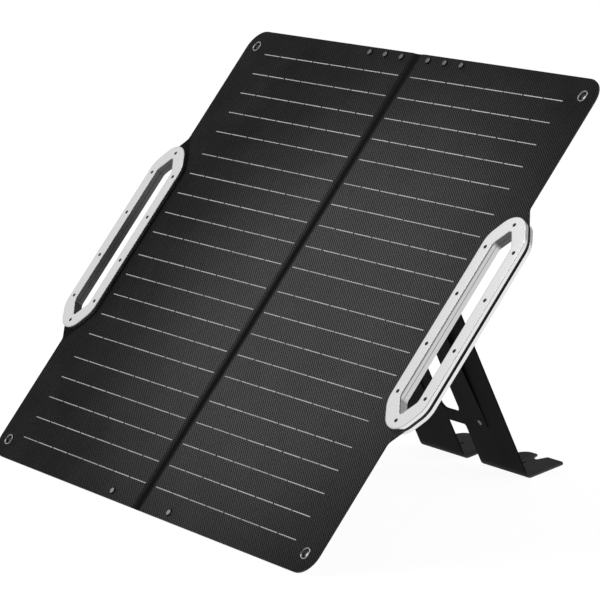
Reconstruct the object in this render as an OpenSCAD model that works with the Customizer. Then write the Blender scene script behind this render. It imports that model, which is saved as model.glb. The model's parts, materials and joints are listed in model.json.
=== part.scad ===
// Two-panel folding solar panel for camping, standing on its hinged rear legs.
// Each half is drawn flat: X runs outward from the crease, Y up the panel and Z out of its front.
// Legs and feet are drawn flat too, each from its own hinge line, and then turned into place.

/* [Panel] */
// Height of the panel along its slope
panel_h = 690; // [686:1:720]
// Distance from the crease to the side edge
half_w = 390; // [384:1:400]
// Half the width of the soft spine between the two halves
spine_half = 8.8; // [8.8:0.2:10]
// Angle between the panel and the ground
tilt = 52.2; // [48:0.1:56]
// Thickness of the back fabric
back_t = 0.8; // [0.6:0.1:1]
// Thickness of the stiff boards inside the panel
board_t = 2.4; // [2.2:0.1:3]
// Thickness of the textured front sheet
front_t = 0.8; // [0.6:0.1:1]
// Radius of the panel's outer corners
corner_r = 28; // [20:1:30]

/* [Solar cells] */
// Height of one cell
cell_h = 158.75; // [156:0.25:158.75]
// Gap between neighbouring cells in a column
cell_gap = 5.15; // [3:0.05:5.15]
// Cell slices across one half
slices = 8; // [6:1:8]
// Width of one slice
slice_w = 39.7; // [38:0.1:39.7]
// Distance from one slice to the next
slice_pitch = 40.6; // [40.3:0.1:40.6]
// Distance from the crease to the first slice
cell_inset = 12.5; // [12:0.5:13]
// Metal ribbons across each cell
ribbons_per_cell = 5; // [3:1:6]
// Width of a ribbon
ribbon_w = 1.4; // [1:0.1:2]

/* [Handles] */
// Half the width of a handle frame
handle_half_w = 37.5; // [36:0.5:38]
// Half the length of a handle's straight bars
handle_straight = 116; // [112:1:118]
// Half the length of a handle, to its unrounded tips
handle_tip = 165.5; // [163:0.5:167]
// Half the width of the hand slot
slot_half_w = 18.5; // [18:0.5:19]
// Half the length of the hand slot's straight sides
slot_straight = 107; // [105:1:108]
// Half the length of the hand slot, to its unrounded tips
slot_tip = 129; // [127:0.5:130]
// Thickness of each handle shell
shell_t = 5; // [4:0.5:5]
// Thickness of the lip that lines the hand slot
lip_t = 2; // [1.5:0.5:2.5]
// How far the panel's ear stands out past its side edge
ear_out = 36; // [35:0.5:37]

/* [Stand] */
// Distance of the stand's hinge line from the panel's bottom edge
hinge_u = 514; // [510:1:520]
// Angle between an open leg and the panel
open_angle = 63.6; // [62:0.1:65]
// Angle between a raised foot plate and the line of its leg
foot_angle = 76.1; // [70:0.1:80]
// Distance from the crease to a leg's inner edge
leg_in = 20; // [20:1:24]
// Width of a leg and its foot plate
leg_w = 100; // [98:1:104]
// Thickness of the leg and foot boards
leg_t = 2.4; // [2:0.1:3]
// Thickness of the fabric over the legs and feet
cover_t = 0.4; // [0.3:0.1:0.5]
// Length of a foot plate
foot_len = 62; // [60:1:62]
// Width of a strap
strap_w = 28; // [26:1:30]
// Thickness of a strap
strap_t = 1.2; // [1:0.1:1.2]

/* [Hardware] */
// Distance of an eyelet from the side edge
eyelet_in = 24; // [22:1:26]
// Distance of an eyelet from the top or bottom edge
eyelet_end = 25; // [23:1:28]
// Radius of the hole through an eyelet
eyelet_hole_r = 4.5; // [4:0.1:4.5]
// Outer radius of an eyelet's flange
eyelet_r = 8; // [8:0.5:9]
// Radius of a rivet or stud cap
cap_r = 4.75; // [4:0.25:5]

/* [Junction box] */
// Width of the junction box
box_w = 92; // [88:1:100]
// Height of the junction box
box_h = 62; // [60:1:70]
// Depth of the junction box's base
box_d = 14; // [14:1:16]
// Thickness of the junction box's walls
box_wall = 2; // [1.5:0.5:2.5]

/* [Hidden] */

left = -1;
right = 1;
round_fn = 48;
arc_steps = 8;
through = 40;
fit_gap = 0.1;

// Levels through the thickness, measured from the panel's back
cell_t = 0.25;
ribbon_t = 0.25;
border_top = back_t + board_t;
panel_t = border_top + front_t;
core_top = border_top - cell_t - ribbon_t;
shell_front = panel_t + shell_t;
lip_split = panel_t / 2;
lip_gap = 0.2;

// Places in the plane of a half
mid_u = panel_h / 2;
border_w = 18;
board_in = 12;
core_end = 342;
fabric_inset = 1;
field_u = (panel_h - 4 * cell_h - 3 * cell_gap) / 2;
ribbon_pitch = cell_h / ribbons_per_cell;
ear_reach = 163;
ear_straight = 118;
ear_foot_r = 10;
ear_r = 24;

// Handles
handle_side_r = 30;
handle_tip_r = 28;
slot_side_r = 9;
slot_tip_r = 4;
screw_bar_x = (handle_half_w + slot_half_w) / 2;
screw_bar_us = [-101, -35, 35, 101];
screw_tip_u = 136;
screw_r = 1.2;
screw_head_r = 2.5;
screw_sink = 0.25;
hex_size = 0.42;
hex_depth = 0.33;
screw_len = panel_t + 2 * shell_t - 1.5;
shell_floor = 1;

// Rivets, studs and eyelets
rivet_xs = [30, 67, 103];
rivet_u = panel_h - 8.6;
cap_t = 1.5;
cap_rim = 0.6;
cap_bevel = 0.4;
cap_dome = 1.2;
back_cap_t = 1;
shank_r = 2;
washer_t = 0.8;
eyelet_wall = 0.5;
eyelet_flange_t = 1;
eyelet_flare = 1.5;
eyelet_curl = 1.2;
eyelet_rim = 0.4;
eyelet_slope = 0.9;

// Stand
anchor_t = 2.4;
anchor_top = panel_h - 2;
anchor_r = 8;
hinge_gap = 0.4;
leg_slope = 180 - tilt - open_angle;
lift = -back_t * cos(tilt);
hinge_y = hinge_u * cos(tilt) + anchor_t * sin(tilt);
hinge_z = hinge_u * sin(tilt) - anchor_t * cos(tilt) + lift;
leg_len = hinge_z / sin(leg_slope);
leg_out = leg_in + leg_w;
leg_corner_r = 3;
cover_inset = 0.5;
foot_start = 3;
foot_slope = foot_angle - leg_slope;
bridge_above_fold = 72.5;
bridge_h = 19;
bridge_t = 1.2;
bridge_gap = 0.15;
bridge_upper_r = 10;
bridge_lower_r = 3;
bridge_trim = 0.7;

// Foot plate: hooked notch in its far edge and a small slot between it and the fold
foot_near_r = 3;
foot_outer_r = 6;
foot_inner_r = 20;
foot_taper = 14;
foot_taper_from = 22;
foot_taper_r = 8;
notch_floor = 48.5;
notch_step = 2;
notch_outer_mouth = 13;
notch_outer_floor = 6;
notch_inner_floor = 4;
notch_inner_mouth = 9;
notch_mouth_r = 2;
notch_floor_r = 3;
slot_x = 70;
slot_w = 2.5;
slot_near = 27;
slot_far = 34;

// Locking stud: the notch closes round it when the stand is folded flat
stud_x = 70;
stud_r = 3.5;
stud_neck_r = 3;
stud_head_t = 1.2;
stud_u = hinge_u - leg_len - notch_floor - notch_step - stud_r;
stud_len = anchor_t + leg_t + cover_t + 1;

// Spine
spine_gap = 0.3;
spine_front_half = spine_half - 3.8;
spine_front_t = 0.8;
cable_w = 16;
cable_t = 0.3;
cable_end = 40;

// Straps
strap_x = leg_in + 42;
strap_drop = 18;
strap_end = leg_len - 70;
strap_rivet_d = leg_len - 76;
strap_lift_d = leg_len - 96;
strap_cap_r = 3.75;
strap_cap_t = 0.7;
strap_cap_bevel = 0.4;
tab_top = hinge_u - 1;
tab_len = strap_drop - 2;
tab_t = 1;

// Junction box on the back of the left half
box_x = -214;
box_u = 596;
box_r = 6;
box_cover_t = 2.5;
post_r = 4;
post_inset = 8;
post_floor = 4;
box_screw_r = 1;
box_screw_head_r = 2;
box_screw_len = 11;

// Circuit board, on four bosses
pcb_t = 1.6;
pcb_z = 5;
pcb_w = 45;
pcb_h = 38;
pcb_x = -33;
boss_r = 2.5;
boss_xs = [-28, 8];
boss_ys = [-16, 16];
chip_size = [5, 9, 3];
chip_xs = [-25, -16, -7];
coil_size = [10, 10, 6];
coil_xs = [-26, -8];
part_row = 3;
capacitor_r = 3.5;
capacitor_h = 5;
capacitor_x = 6;

// Output socket, in the box's lower wall
socket_x = 20;
socket_z = 8;
socket_r = 5.5;
socket_inside = 14;
socket_collar_r = 7;
socket_collar_t = 2;
socket_bore_r = 2.75;
socket_depth = 9;

// Row origin: the middle of the footprint, on the ground
front_y = -panel_t * sin(tilt);
back_y = hinge_y + leg_len * cos(leg_slope) + foot_len * cos(foot_slope);
row_y = -(front_y + back_y) / 2;

// ---- Outlines ----

function unit(v) = v / norm(v);

function turned(v, angle) = [
    v.x * cos(angle) - v.y * sin(angle),
    v.x * sin(angle) + v.y * cos(angle)
];

// The points of one corner, rounded to radius r
function corner_points(before, at, after, r) =
    let (a = unit(before - at), b = unit(after - at))
    let (half = acos(a * b) / 2)
    let (centre = at + unit(a + b) * r / sin(half))
    let (first = at + a * r / tan(half) - centre)
    let (sweep = (180 - 2 * half) * sign(cross(first, at - centre)))
    [for (i = [0:arc_steps]) centre + turned(first, sweep * i / arc_steps)];

// A polygon from corners written as [x, y, radius]
function outline(corners) =
    let (n = len(corners), points = [for (c = corners) [c.x, c.y]])
    [for (i = [0:n - 1]) each corners[i].z == 0
        ? [points[i]]
        : corner_points(points[(i + n - 1) % n], points[i], points[(i + 1) % n], corners[i].z)];

// A long hexagon with its tips along Y, moved outward by grow all round
function long_hexagon(half_width, straight, tip, side_r, tip_r, grow = 0) =
    let (slant = atan(half_width / (tip - straight)))
    let (w = half_width + grow, s = straight + grow * tan(slant / 2), t = tip + grow / sin(slant))
    outline([[w, -s, side_r], [w, s, side_r], [0, t, tip_r],
             [-w, s, side_r], [-w, -s, side_r], [0, -t, tip_r]]);

// A half of the panel from inner_x to its side edge, with the ear that the handle clamps
module half_outline(inner_x, inset = 0) {
    polygon(outline([
        [inner_x, inset, 0],
        [half_w - inset, inset, corner_r],
        [half_w - inset, mid_u - ear_reach, ear_foot_r],
        [half_w + ear_out - inset, mid_u - ear_straight, ear_r],
        [half_w + ear_out - inset, mid_u + ear_straight, ear_r],
        [half_w - inset, mid_u + ear_reach, ear_foot_r],
        [half_w - inset, panel_h - inset, corner_r],
        [inner_x, panel_h - inset, 0]
    ]));
}

module handle_outline() {
    translate([half_w, mid_u])
        polygon(long_hexagon(handle_half_w, handle_straight, handle_tip, handle_side_r, handle_tip_r));
}

module slot_outline(grow = 0) {
    translate([half_w, mid_u])
        polygon(long_hexagon(slot_half_w, slot_straight, slot_tip, slot_side_r, slot_tip_r, grow));
}

module rounded_rectangle(w, h, r) {
    polygon(outline([[-w / 2, -h / 2, r], [w / 2, -h / 2, r], [w / 2, h / 2, r], [-w / 2, h / 2, r]]));
}

module leg_outline(inset = 0) {
    polygon(outline([
        [leg_in + inset, hinge_gap, 0],
        [leg_out - inset, hinge_gap, 0],
        [leg_out - inset, leg_len - inset, leg_corner_r],
        [leg_in + inset, leg_len - inset, leg_corner_r]
    ]));
}

module foot_outline(inset = 0) {
    far = foot_len - inset;
    polygon(outline([
        [leg_in + inset, foot_start + inset, foot_near_r],
        [leg_out - inset, foot_start + inset, foot_near_r],
        [leg_out - inset, far, foot_outer_r],
        [stud_x + notch_outer_mouth, far, notch_mouth_r],
        [stud_x + notch_outer_floor, notch_floor - inset, notch_floor_r],
        [stud_x - notch_inner_floor, notch_floor + notch_step - inset, notch_floor_r],
        [stud_x - notch_inner_mouth, far, notch_mouth_r],
        [leg_in + foot_taper + inset, far, foot_inner_r],
        [leg_in + inset, foot_taper_from, foot_taper_r]
    ]));
}

// Both foot plates face the same way, so the left one is turned over about its stud
module foot_shape(side, inset = 0) {
    if (side == left)
        translate([2 * stud_x, 0])
            mirror([1, 0])
                foot_outline(inset);
    else
        foot_outline(inset);
}

// ---- Placing ----

module on_panel() {
    translate([0, row_y, lift])
        rotate([tilt, 0, 0])
            children();
}

module on_side(side) {
    mirror([side == left ? 1 : 0, 0, 0])
        children();
}

module on_half(side) {
    on_panel()
        on_side(side)
            children();
}

module on_leg(side) {
    on_half(side)
        translate([0, hinge_u, -anchor_t])
            rotate([180 + open_angle, 0, 0])
                children();
}

module on_foot(side) {
    on_leg(side)
        translate([0, leg_len, 0])
            rotate([foot_angle, 0, 0])
                children();
}

module on_box() {
    on_panel()
        translate([box_x, box_u, 0])
            rotate([0, 180, 0])
                children();
}

module at_screws() {
    translate([half_w, mid_u, 0]) {
        for (x = [-screw_bar_x, screw_bar_x], u = screw_bar_us)
            translate([x, u, 0])
                children();
        for (u = [-screw_tip_u, screw_tip_u])
            translate([0, u, 0])
                children();
    }
}

module at_eyelets() {
    for (u = [eyelet_end, panel_h - eyelet_end])
        translate([half_w - eyelet_in, u, 0])
            children();
}

module at_rivets() {
    for (x = rivet_xs)
        translate([x, rivet_u, 0])
            children();
}

module at_box_posts() {
    post_x = box_w / 2 - post_inset;
    post_y = box_h / 2 - post_inset;
    for (x = [-post_x, post_x], y = [-post_y, post_y])
        translate([x, y, 0])
            children();
}

// ---- Shared cutters and fasteners ----

module hole(r) {
    translate([0, 0, -through])
        cylinder(r = r, h = 2 * through, $fn = round_fn);
}

module panel_holes() {
    at_eyelets()
        hole(eyelet_hole_r + eyelet_wall + fit_gap);
    at_rivets()
        hole(shank_r + fit_gap);
    at_screws()
        hole(screw_r + fit_gap);
    translate([stud_x, stud_u, 0])
        hole(shank_r + fit_gap);
}

module slot_cut(grow) {
    translate([0, 0, -through])
        linear_extrude(2 * through)
            slot_outline(grow);
}

// Countersunk screw with a hexagon socket and its flat top at Z = 0, and the cutter for its hole
module countersunk(r, head_r, length) {
    difference() {
        rotate_extrude($fn = round_fn)
            polygon([[0, -length], [r, -length], [r, r - head_r], [head_r, 0], [0, 0]]);
        translate([0, 0, -head_r * hex_depth])
            cylinder(r = head_r * hex_size, h = head_r, $fn = 6);
    }
}

module countersink(r, head_r) {
    rotate_extrude($fn = round_fn)
        polygon([
            [0, -through], [r + fit_gap, -through], [r + fit_gap, r - head_r],
            [head_r + fit_gap, 0], [head_r + fit_gap, through], [0, through]
        ]);
}

// Rivet with a front cap, and a back cap of thickness back_t that starts at back_z
module cap_rivet(back_z, back_t) {
    back_end = back_z - back_t;
    front_end = panel_t + cap_t;
    rotate_extrude($fn = round_fn)
        polygon([
            [0, back_end], [cap_r - cap_bevel, back_end], [cap_r, back_end + cap_bevel],
            [cap_r, back_z], [shank_r, back_z], [shank_r, panel_t], [cap_r, panel_t],
            [cap_r, panel_t + cap_rim], [cap_r - cap_bevel, front_end - cap_bevel],
            [cap_r - cap_dome, front_end], [0, front_end]
        ]);
}

// ---- Panel halves ----

module front_sheet(side) {
    color([0.13, 0.13, 0.14])
        on_half(side)
            difference() {
                translate([0, 0, border_top])
                    linear_extrude(front_t)
                        half_outline(spine_half);
                slot_cut(lip_t + fit_gap);
                panel_holes();
            }
}

module cells(side) {
    color([0.07, 0.08, 0.12])
        on_half(side)
            for (column = [0:slices - 1], row = [0:3])
                translate([cell_inset + column * slice_pitch, field_u + row * (cell_h + cell_gap), core_top])
                    cube([slice_w, cell_h, cell_t]);
}

module ribbons(side) {
    field_w = (slices - 1) * slice_pitch + slice_w;
    color([0.75, 0.76, 0.78])
        on_half(side)
            for (row = [0:3], i = [0:ribbons_per_cell - 1])
                translate([
                    cell_inset,
                    field_u + row * (cell_h + cell_gap) + (i + 0.5) * ribbon_pitch - ribbon_w / 2,
                    core_top + cell_t
                ])
                    cube([field_w, ribbon_w, ribbon_t]);
}

module core_board(side) {
    color([0.25, 0.3, 0.2])
        on_half(side)
            translate([board_in, border_w, back_t])
                cube([core_end - board_in, panel_h - 2 * border_w, core_top - back_t]);
}

module side_border(side) {
    color([0.16, 0.16, 0.16])
        on_half(side)
            difference() {
                translate([0, 0, back_t])
                    linear_extrude(board_t)
                        half_outline(core_end);
                slot_cut(lip_t + fit_gap);
                panel_holes();
            }
}

module end_border(side, u) {
    color([0.16, 0.16, 0.16])
        on_half(side)
            difference() {
                translate([board_in, u, back_t])
                    cube([core_end - board_in, border_w, board_t]);
                panel_holes();
            }
}

module back_fabric(side) {
    color([0.1, 0.1, 0.1])
        on_half(side)
            difference() {
                linear_extrude(back_t)
                    half_outline(spine_half, fabric_inset);
                slot_cut(lip_t + fit_gap);
                panel_holes();
            }
}

// ---- Handles, eyelets, rivets ----

module handle_front(side) {
    color([0.8, 0.8, 0.81])
        on_half(side)
            difference() {
                union() {
                    translate([0, 0, panel_t])
                        linear_extrude(shell_t)
                            handle_outline();
                    translate([0, 0, lip_split + lip_gap / 2])
                        linear_extrude(shell_front - shell_floor - lip_split)
                            slot_outline(lip_t);
                }
                slot_cut(0);
                at_screws()
                    translate([0, 0, shell_front - screw_sink])
                        countersink(screw_r, screw_head_r);
            }
}

module handle_rear(side) {
    color([0.74, 0.74, 0.75])
        on_half(side)
            difference() {
                union() {
                    translate([0, 0, -shell_t])
                        linear_extrude(shell_t)
                            handle_outline();
                    translate([0, 0, shell_floor - shell_t])
                        linear_extrude(lip_split - lip_gap / 2 - shell_floor + shell_t)
                            slot_outline(lip_t);
                }
                slot_cut(0);
                at_screws()
                    translate([0, 0, shell_floor - shell_t])
                        cylinder(r = screw_r + fit_gap, h = through, $fn = round_fn);
            }
}

module handle_screws(side) {
    color([0.12, 0.12, 0.13])
        on_half(side)
            at_screws()
                translate([0, 0, shell_front - screw_sink])
                    countersunk(screw_r, screw_head_r, screw_len - screw_sink);
}

module eyelets(side) {
    barrel_r = eyelet_hole_r + eyelet_wall;
    flange_top = panel_t + eyelet_flange_t;
    color([0.3, 0.31, 0.33])
        on_half(side)
            at_eyelets()
                rotate_extrude($fn = round_fn)
                    polygon([
                        [eyelet_hole_r, -eyelet_flare], [barrel_r + eyelet_curl, -eyelet_flare],
                        [barrel_r + eyelet_curl, -washer_t - fit_gap],
                        [barrel_r, -washer_t - fit_gap], [barrel_r, panel_t], [eyelet_r, panel_t],
                        [eyelet_r, panel_t + eyelet_rim], [eyelet_r - eyelet_slope, flange_top],
                        [barrel_r + eyelet_rim, flange_top],
                        [eyelet_hole_r, flange_top - eyelet_rim]
                    ]);
}

module eyelet_washers(side) {
    color([0.3, 0.31, 0.33])
        on_half(side)
            at_eyelets()
                translate([0, 0, -washer_t])
                    difference() {
                        cylinder(r = eyelet_r, h = washer_t, $fn = round_fn);
                        hole(eyelet_hole_r + eyelet_wall + fit_gap);
                    }
}

module top_rivets(side) {
    color([0.24, 0.24, 0.25])
        on_half(side)
            at_rivets()
                cap_rivet(-anchor_t, back_cap_t);
}

module bottom_stud(side) {
    color([0.6, 0.6, 0.62])
        on_half(side)
            translate([stud_x, stud_u, 0]) {
                cap_rivet(0, washer_t);
                translate([0, 0, -stud_len])
                    cylinder(r = stud_neck_r, h = stud_len - washer_t / 2, $fn = round_fn);
                translate([0, 0, -stud_len - stud_head_t + fit_gap])
                    cylinder(r = stud_r, h = stud_head_t, $fn = round_fn);
            }
}

module stand_anchor(side) {
    color([0.11, 0.11, 0.11])
        on_half(side)
            difference() {
                translate([0, 0, -anchor_t])
                    linear_extrude(anchor_t)
                        polygon(outline([
                            [leg_in, hinge_u + hinge_gap, 0], [leg_out, hinge_u + hinge_gap, 0],
                            [leg_out, anchor_top, anchor_r], [leg_in, anchor_top, anchor_r]
                        ]));
                at_rivets()
                    hole(shank_r + fit_gap);
            }
}

module strap_tab(side) {
    color([0.15, 0.15, 0.15])
        on_half(side)
            translate([strap_x - strap_w / 2, tab_top - tab_len, -tab_t])
                cube([strap_w, tab_len, tab_t]);
}

// ---- Spine between the halves ----

module spine_strip(half, low, high) {
    translate([-half, fabric_inset, low])
        cube([2 * half, panel_h - 2 * fabric_inset, high - low]);
}

module spine_back_fabric() {
    color([0.1, 0.1, 0.1])
        on_panel()
            spine_strip(spine_half - spine_gap, 0, back_t);
}

module spine_front_fabric() {
    color([0.12, 0.12, 0.12])
        on_panel()
            spine_strip(spine_front_half, back_t + cable_t, back_t + cable_t + spine_front_t);
}

module spine_flex_cable() {
    color([0.7, 0.4, 0.2])
        on_panel()
            for (u = [cable_end, panel_h - cable_end])
                translate([-spine_front_half, u - cable_w / 2, back_t])
                    cube([2 * spine_front_half, cable_w, cable_t]);
}

// ---- Junction box ----

module junction_box_base() {
    color([0.13, 0.13, 0.14])
        on_box()
            difference() {
                union() {
                    difference() {
                        linear_extrude(box_d)
                            rounded_rectangle(box_w, box_h, box_r);
                        translate([0, 0, box_wall])
                            linear_extrude(through)
                                rounded_rectangle(
                                    box_w - 2 * box_wall, box_h - 2 * box_wall, box_r - box_wall
                                );
                    }
                    at_box_posts()
                        cylinder(r = post_r, h = box_d, $fn = round_fn);
                    for (x = boss_xs, y = boss_ys)
                        translate([x, y, 0])
                            cylinder(r = boss_r, h = pcb_z, $fn = round_fn);
                }
                at_box_posts()
                    translate([0, 0, post_floor])
                        cylinder(r = box_screw_r + fit_gap, h = through, $fn = round_fn);
                translate([socket_x, 0, socket_z])
                    rotate([90, 0, 0])
                        cylinder(r = socket_r + fit_gap, h = through, $fn = round_fn);
            }
}

module junction_box_cover() {
    color([0.15, 0.15, 0.16])
        on_box()
            difference() {
                translate([0, 0, box_d])
                    linear_extrude(box_cover_t)
                        rounded_rectangle(box_w, box_h, box_r);
                at_box_posts()
                    translate([0, 0, box_d + box_cover_t - screw_sink])
                        countersink(box_screw_r, box_screw_head_r);
            }
}

module circuit_board() {
    board_top = pcb_z + pcb_t;
    color([0.1, 0.35, 0.2])
        on_box() {
            translate([pcb_x, -pcb_h / 2, pcb_z])
                cube([pcb_w, pcb_h, pcb_t]);
            for (x = chip_xs)
                translate([x, -part_row - chip_size.y, board_top - fit_gap])
                    cube(chip_size);
            for (x = coil_xs)
                translate([x, part_row, board_top - fit_gap])
                    cube(coil_size);
            translate([capacitor_x, part_row + coil_size.y / 2, board_top - fit_gap])
                cylinder(r = capacitor_r, h = capacitor_h, $fn = round_fn);
        }
}

module output_socket() {
    wall_y = -box_h / 2;
    color([0.2, 0.2, 0.21])
        on_box()
            translate([socket_x, wall_y, socket_z])
                rotate([90, 0, 0])
                    difference() {
                        rotate_extrude($fn = round_fn)
                            polygon([
                                [0, -socket_inside], [socket_r, -socket_inside], [socket_r, 0],
                                [socket_collar_r, 0], [socket_collar_r, socket_collar_t],
                                [0, socket_collar_t]
                            ]);
                        translate([0, 0, socket_collar_t - socket_depth])
                            cylinder(r = socket_bore_r, h = through, $fn = round_fn);
                    }
}

module junction_box_screws() {
    color([0.5, 0.5, 0.52])
        on_box()
            at_box_posts()
                translate([0, 0, box_d + box_cover_t - screw_sink])
                    countersunk(box_screw_r, box_screw_head_r, box_screw_len);
}

// ---- Stand legs ----

// A point on the back of the panel, p below the hinge line and q out from it, seen from the open leg
function leg_point(p, q) = [
    p * cos(open_angle) + q * sin(open_angle),
    q * cos(open_angle) - p * sin(open_angle)
];

module leg_board(side) {
    color([0.1, 0.1, 0.1])
        on_leg(side)
            difference() {
                linear_extrude(leg_t)
                    leg_outline();
                translate([strap_x, strap_rivet_d, 0])
                    hole(shank_r + fit_gap);
            }
}

module leg_cover(side) {
    color([0.12, 0.12, 0.12])
        on_leg(side)
            difference() {
                translate([0, 0, leg_t])
                    linear_extrude(cover_t)
                        leg_outline(cover_inset);
                translate([strap_x, strap_rivet_d, 0])
                    hole(shank_r + fit_gap);
            }
}

// Openings above and below the bridge, with rounded corners where it joins the leg
module bridge_openings(upper, lower) {
    clear = 2 * bridge_upper_r;
    polygon(outline([
        [-leg_in, upper - clear, 0],
        [leg_in, upper - clear, 0],
        [leg_in, upper, bridge_upper_r],
        [-leg_in, upper, 0]
    ]));
    polygon(outline([
        [-leg_in, lower, 0],
        [leg_in, lower, bridge_lower_r],
        [leg_in, lower + clear, 0],
        [-leg_in, lower + clear, 0]
    ]));
}

module leg_bridge(side) {
    upper = leg_len - bridge_above_fold - bridge_h / 2;
    lower = upper + bridge_h;
    top = upper - bridge_upper_r * bridge_trim;
    bottom = lower + bridge_lower_r * bridge_trim;
    color([0.11, 0.11, 0.11])
        on_leg(side)
            translate([0, 0, (leg_t - bridge_t) / 2])
                linear_extrude(bridge_t)
                    difference() {
                        translate([bridge_gap, top])
                            square([leg_in - bridge_gap, bottom - top]);
                        bridge_openings(upper, lower);
                    }
}

module strap(side) {
    top = leg_point(strap_drop, strap_t - anchor_t);
    rise = unit(top - [strap_lift_d, -strap_t / 2]);
    edge = strap_t / 2 * [-rise.y, rise.x];
    color([0.16, 0.16, 0.16])
        on_leg(side)
            difference() {
                translate([strap_x - strap_w / 2, 0, 0])
                    rotate([90, 0, 90])
                        linear_extrude(strap_w)
                            polygon([
                                [strap_end, 0], [strap_end, -strap_t], [strap_lift_d, -strap_t],
                                top + edge, top - edge, [strap_lift_d, 0]
                            ]);
                translate([strap_x, strap_rivet_d, 0])
                    hole(shank_r + fit_gap);
            }
}

module strap_rivet(side) {
    inner = -strap_t - strap_cap_t;
    outer = leg_t + cover_t + strap_cap_t;
    color([0.35, 0.35, 0.36])
        on_leg(side)
            translate([strap_x, strap_rivet_d, 0])
                rotate_extrude($fn = round_fn)
                    polygon([
                        [0, inner], [strap_cap_r - strap_cap_bevel, inner],
                        [strap_cap_r, inner + strap_cap_bevel],
                        [strap_cap_r, -strap_t], [shank_r, -strap_t], [shank_r, leg_t + cover_t],
                        [strap_cap_r, leg_t + cover_t], [strap_cap_r, outer - strap_cap_bevel],
                        [strap_cap_r - strap_cap_bevel, outer], [0, outer]
                    ]);
}

// ---- Foot plates ----

module foot_slot_cut() {
    for (d = [slot_near, slot_far])
        translate([slot_x, d, 0])
            hole(slot_w / 2);
    translate([slot_x - slot_w / 2, slot_near, -through])
        cube([slot_w, slot_far - slot_near, 2 * through]);
}

module foot_board(side) {
    color([0.14, 0.14, 0.14])
        on_foot(side)
            difference() {
                linear_extrude(leg_t)
                    foot_shape(side);
                foot_slot_cut();
            }
}

module foot_cover(side) {
    color([0.18, 0.18, 0.18])
        on_foot(side)
            difference() {
                translate([0, 0, leg_t])
                    linear_extrude(cover_t)
                        foot_shape(side, cover_inset);
                foot_slot_cut();
            }
}

// ---- Nodes ----

front_sheet(left);  // left_front_sheet
cells(left);  // left_cells
ribbons(left);  // left_ribbons
core_board(left);  // left_core_board
side_border(left);  // left_side_border
end_border(left, panel_h - border_w);  // left_top_border
end_border(left, 0);  // left_bottom_border
back_fabric(left);  // left_back_fabric
handle_front(left);  // left_handle_front
handle_rear(left);  // left_handle_rear
handle_screws(left);  // left_handle_screws
eyelets(left);  // left_eyelets
eyelet_washers(left);  // left_eyelet_washers
top_rivets(left);  // left_top_rivets
bottom_stud(left);  // left_bottom_stud
stand_anchor(left);  // left_stand_anchor
strap_tab(left);  // left_strap_tab
front_sheet(right);  // right_front_sheet
cells(right);  // right_cells
ribbons(right);  // right_ribbons
core_board(right);  // right_core_board
side_border(right);  // right_side_border
end_border(right, panel_h - border_w);  // right_top_border
end_border(right, 0);  // right_bottom_border
back_fabric(right);  // right_back_fabric
handle_front(right);  // right_handle_front
handle_rear(right);  // right_handle_rear
handle_screws(right);  // right_handle_screws
eyelets(right);  // right_eyelets
eyelet_washers(right);  // right_eyelet_washers
top_rivets(right);  // right_top_rivets
bottom_stud(right);  // right_bottom_stud
stand_anchor(right);  // right_stand_anchor
strap_tab(right);  // right_strap_tab
spine_back_fabric();
spine_front_fabric();
spine_flex_cable();
junction_box_base();
junction_box_cover();
circuit_board();
output_socket();
junction_box_screws();
leg_board(left);  // left_leg_board
leg_cover(left);  // left_leg_cover
leg_bridge(left);  // left_leg_bridge
strap(left);  // left_strap
strap_rivet(left);  // left_strap_rivet
foot_board(left);  // left_foot_board
foot_cover(left);  // left_foot_cover
leg_board(right);  // right_leg_board
leg_cover(right);  // right_leg_cover
leg_bridge(right);  // right_leg_bridge
strap(right);  // right_strap
strap_rivet(right);  // right_strap_rivet
foot_board(right);  // right_foot_board
foot_cover(right);  // right_foot_cover
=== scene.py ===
import json
import math
import random

import bmesh
import bpy
from mathutils import Matrix, Vector, noise
from mathutils.geometry import tessellate_polygon


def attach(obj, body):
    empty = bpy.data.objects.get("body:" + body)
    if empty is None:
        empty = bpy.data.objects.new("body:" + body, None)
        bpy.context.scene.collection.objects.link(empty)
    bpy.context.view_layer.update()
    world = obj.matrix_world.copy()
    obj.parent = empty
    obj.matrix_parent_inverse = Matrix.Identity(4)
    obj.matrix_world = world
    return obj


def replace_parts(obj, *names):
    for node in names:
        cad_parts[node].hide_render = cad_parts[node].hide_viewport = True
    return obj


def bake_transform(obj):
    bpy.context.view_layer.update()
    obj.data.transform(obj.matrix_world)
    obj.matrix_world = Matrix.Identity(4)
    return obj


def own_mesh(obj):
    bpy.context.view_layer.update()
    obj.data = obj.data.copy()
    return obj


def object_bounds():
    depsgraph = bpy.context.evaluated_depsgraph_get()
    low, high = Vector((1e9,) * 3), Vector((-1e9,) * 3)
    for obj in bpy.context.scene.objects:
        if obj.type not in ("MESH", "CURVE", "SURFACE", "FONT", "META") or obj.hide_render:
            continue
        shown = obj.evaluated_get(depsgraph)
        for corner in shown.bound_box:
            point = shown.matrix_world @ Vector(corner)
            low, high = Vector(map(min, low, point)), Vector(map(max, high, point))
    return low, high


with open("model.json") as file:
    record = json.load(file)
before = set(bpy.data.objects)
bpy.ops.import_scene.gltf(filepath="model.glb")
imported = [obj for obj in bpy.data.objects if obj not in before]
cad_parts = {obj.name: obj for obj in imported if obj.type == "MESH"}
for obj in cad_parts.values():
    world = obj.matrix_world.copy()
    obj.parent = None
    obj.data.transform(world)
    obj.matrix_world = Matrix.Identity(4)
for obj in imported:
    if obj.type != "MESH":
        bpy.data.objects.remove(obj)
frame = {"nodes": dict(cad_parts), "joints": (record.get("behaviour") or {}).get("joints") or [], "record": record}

cad_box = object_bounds()
random.seed(7)

# ---- Places: local frames in millimetres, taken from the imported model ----

MM = 0.001
SIDES = {"left": -1, "right": 1}
X = Vector((1, 0, 0))

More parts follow.
